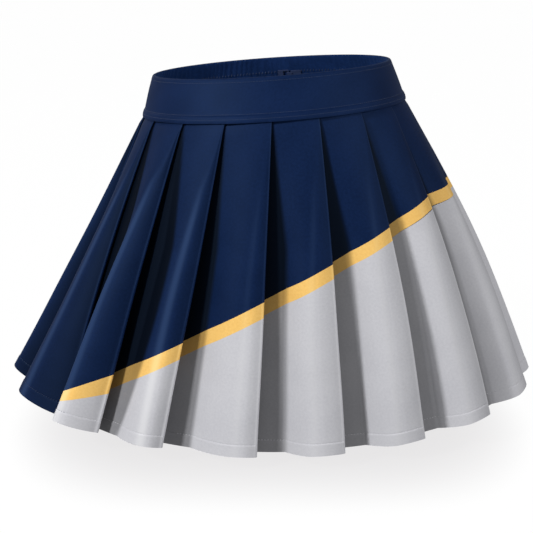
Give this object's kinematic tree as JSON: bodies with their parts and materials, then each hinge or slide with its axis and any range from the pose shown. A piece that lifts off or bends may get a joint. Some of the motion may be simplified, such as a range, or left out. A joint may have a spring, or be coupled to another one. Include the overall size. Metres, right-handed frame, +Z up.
{
  "type": "cheer skirt",
  "caption": "Knife-pleated cheer skirt in navy and grey with a slanting gold stripe; the pleats flare together from a shaped waistband.",
  "frame": {"origin": "centre of the waist opening, in the plane of the waistband's top edge", "axes": "+X towards the wearer's left, +Y towards the wearer's back, +Z up; the wearer faces -Y"},
  "size_m": [0.5503, 0.3451, 0.3637],
  "materials": {
    "navy_cloth": "matt woven twill, pressed in knife pleats",
    "gold_cloth": "matt woven twill with a soft sheen",
    "grey_cloth": "matt woven twill, pale silver grey",
    "facing": "dark navy lining cloth",
    "interfacing": "pressed fibre stiffener",
    "elastic": "ribbed woven elastic",
    "zip_tape": "herringbone zip tape",
    "zip_coil": "satin nylon coil",
    "metal": "satin plated metal"
  },
  "bodies": {
    "waistband": {"elastic_back_left": "elastic", "elastic_back_right": "elastic", "front_interfacing": "interfacing", "waist_bar": "metal", "waist_hook": "metal", "waistband_back_left": "navy_cloth", "waistband_back_right": "navy_cloth", "waistband_facing": "facing", "waistband_front": "navy_cloth"},
    "pleat_01": {"pleat_01_gold": "gold_cloth", "pleat_01_grey": "grey_cloth", "pleat_01_navy": "navy_cloth"},
    "pleat_02": {"pleat_02_gold": "gold_cloth", "pleat_02_grey": "grey_cloth", "pleat_02_navy": "navy_cloth"},
    "pleat_03": {"pleat_03_gold": "gold_cloth", "pleat_03_grey": "grey_cloth", "pleat_03_navy": "navy_cloth"},
    "pleat_04": {"pleat_04_gold": "gold_cloth", "pleat_04_grey": "grey_cloth", "pleat_04_navy": "navy_cloth"},
    "pleat_05": {"pleat_05_gold": "gold_cloth", "pleat_05_grey": "grey_cloth", "pleat_05_navy": "navy_cloth"},
    "pleat_06": {"pleat_06_gold": "gold_cloth", "pleat_06_grey": "grey_cloth", "pleat_06_navy": "navy_cloth"},
    "pleat_07": {"pleat_07_gold": "gold_cloth", "pleat_07_grey": "grey_cloth", "pleat_07_navy": "navy_cloth"},
    "pleat_08": {"pleat_08_gold": "gold_cloth", "pleat_08_grey": "grey_cloth", "pleat_08_navy": "navy_cloth"},
    "pleat_09": {"pleat_09_gold": "gold_cloth", "pleat_09_grey": "grey_cloth", "pleat_09_navy": "navy_cloth"},
    "pleat_10": {"pleat_10_gold": "gold_cloth", "pleat_10_grey": "grey_cloth", "pleat_10_navy": "navy_cloth"},
    "pleat_11": {"pleat_11_gold": "gold_cloth", "pleat_11_grey": "grey_cloth", "pleat_11_navy": "navy_cloth", "zip_tape": "zip_tape", "zip_coil": "zip_coil"},
    "pleat_12": {"pleat_12_gold": "gold_cloth", "pleat_12_grey": "grey_cloth", "pleat_12_navy": "navy_cloth"},
    "pleat_13": {"pleat_13_gold": "gold_cloth", "pleat_13_grey": "grey_cloth", "pleat_13_navy": "navy_cloth"},
    "pleat_14": {"pleat_14_navy": "navy_cloth"},
    "pleat_15": {"pleat_15_navy": "navy_cloth"},
    "pleat_16": {"pleat_16_gold": "gold_cloth", "pleat_16_grey": "grey_cloth", "pleat_16_navy": "navy_cloth"},
    "pleat_17": {"pleat_17_gold": "gold_cloth", "pleat_17_grey": "grey_cloth", "pleat_17_navy": "navy_cloth"},
    "zip_slider": {"zip_slider": "metal"},
    "zip_pull_tab": {"zip_pull_tab": "metal"}
  },
  "joints": [
    {"name": "flare_01", "type": "hinge", "parent": "waistband", "child": "pleat_01", "pos_m": [-0.03111, -0.10901, -0.04043], "axis": [-0.9744, 0.215, -0.0664], "range_deg": [0, 12]},
    {"name": "flare_02", "type": "hinge", "parent": "waistband", "child": "pleat_02", "pos_m": [0.01403, -0.11226, -0.03737], "axis": [-0.9951, -0.0723, -0.0678], "range_deg": [0, 12]},
    {"name": "flare_03", "type": "hinge", "parent": "waistband", "child": "pleat_03", "pos_m": [0.05812, -0.10244, -0.03433], "axis": [-0.9308, -0.3601, -0.0635], "range_deg": [0, 12]},
    {"name": "flare_04", "type": "hinge", "parent": "waistband", "child": "pleat_04", "pos_m": [0.09662, -0.07987, -0.03163], "axis": [-0.7646, -0.6424, -0.0521], "range_deg": [0, 12]},
    {"name": "flare_05", "type": "hinge", "parent": "waistband", "child": "pleat_05", "pos_m": [0.12407, -0.04635, -0.02967], "axis": [-0.4712, -0.8815, -0.0321], "range_deg": [0, 12]},
    {"name": "flare_06", "type": "hinge", "parent": "waistband", "child": "pleat_06", "pos_m": [0.13563, -0.00644, -0.02881], "axis": [-0.0677, -0.9977, -0.0046], "range_deg": [0, 12]},
    {"name": "flare_07", "type": "hinge", "parent": "waistband", "child": "pleat_07", "pos_m": [0.12995, 0.03316, -0.02921], "axis": [0.3425, -0.9392, 0.0233], "range_deg": [0, 12]},
    {"name": "flare_08", "type": "hinge", "parent": "waistband", "child": "pleat_08", "pos_m": [0.10967, 0.06708, -0.03067], "axis": [0.6589, -0.7509, 0.0449], "range_deg": [0, 12]},
    {"name": "flare_09", "type": "hinge", "parent": "waistband", "child": "pleat_09", "pos_m": [0.07826, 0.09275, -0.03289], "axis": [0.8627, -0.5023, 0.0588], "range_deg": [0, 12]},
    {"name": "flare_10", "type": "hinge", "parent": "waistband", "child": "pleat_10", "pos_m": [0.03819, 0.10857, -0.03568], "axis": [0.9716, -0.2273, 0.0662], "range_deg": [0, 12]},
    {"name": "flare_11", "type": "hinge", "parent": "waistband", "child": "pleat_11", "pos_m": [-0.00795, 0.11231, -0.03884], "axis": [0.9955, 0.0667, 0.0679], "range_deg": [0, 12]},
    {"name": "flare_12", "type": "hinge", "parent": "waistband", "child": "pleat_12", "pos_m": [-0.05587, 0.10125, -0.04206], "axis": [0.9227, 0.3803, 0.0629], "range_deg": [0, 12]},
    {"name": "flare_13", "type": "hinge", "parent": "waistband", "child": "pleat_13", "pos_m": [-0.09844, 0.07347, -0.04485], "axis": [0.7128, 0.6996, 0.0486], "range_deg": [0, 12]},
    {"name": "flare_14", "type": "hinge", "parent": "waistband", "child": "pleat_14", "pos_m": [-0.12567, 0.03054, -0.04658], "axis": [0.3164, 0.9484, 0.0216], "range_deg": [0, 12]},
    {"name": "flare_15", "type": "hinge", "parent": "waistband", "child": "pleat_15", "pos_m": [-0.12876, -0.01892, -0.04676], "axis": [-0.1977, 0.9802, -0.0135], "range_deg": [0, 12]},
    {"name": "flare_16", "type": "hinge", "parent": "waistband", "child": "pleat_16", "pos_m": [-0.10851, -0.06222, -0.04549], "axis": [-0.6168, 0.786, -0.042], "range_deg": [0, 12]},
    {"name": "flare_17", "type": "hinge", "parent": "waistband", "child": "pleat_17", "pos_m": [-0.07348, -0.09251, -0.04324], "axis": [-0.861, 0.5053, -0.0587], "range_deg": [0, 12]},
    {"name": "zip_slide", "type": "slide", "parent": "pleat_11", "child": "zip_slider", "axis": [0.0957, 0.1642, -0.9818], "range_m": [0, 0.105]},
    {"name": "pull_tab_lift", "type": "hinge", "parent": "zip_slider", "child": "zip_pull_tab", "pos_m": [0.0247, 0.10592, -0.05726], "axis": [0.9879, -0.1363, 0.0735], "range_deg": [0, 6]}
  ],
  "couplings": [
    {"joint": "flare_02", "follows": "flare_01", "ratio": 1},
    {"joint": "flare_03", "follows": "flare_01", "ratio": 1},
    {"joint": "flare_04", "follows": "flare_01", "ratio": 1},
    {"joint": "flare_05", "follows": "flare_01", "ratio": 1},
    {"joint": "flare_06", "follows": "flare_01", "ratio": 1},
    {"joint": "flare_07", "follows": "flare_01", "ratio": 1},
    {"joint": "flare_08", "follows": "flare_01", "ratio": 1},
    {"joint": "flare_09", "follows": "flare_01", "ratio": 1},
    {"joint": "flare_10", "follows": "flare_01", "ratio": 1},
    {"joint": "flare_11", "follows": "flare_01", "ratio": 1},
    {"joint": "flare_12", "follows": "flare_01", "ratio": 1},
    {"joint": "flare_13", "follows": "flare_01", "ratio": 1},
    {"joint": "flare_14", "follows": "flare_01", "ratio": 1},
    {"joint": "flare_15", "follows": "flare_01", "ratio": 1},
    {"joint": "flare_16", "follows": "flare_01", "ratio": 1},
    {"joint": "flare_17", "follows": "flare_01", "ratio": 1}
  ]
}
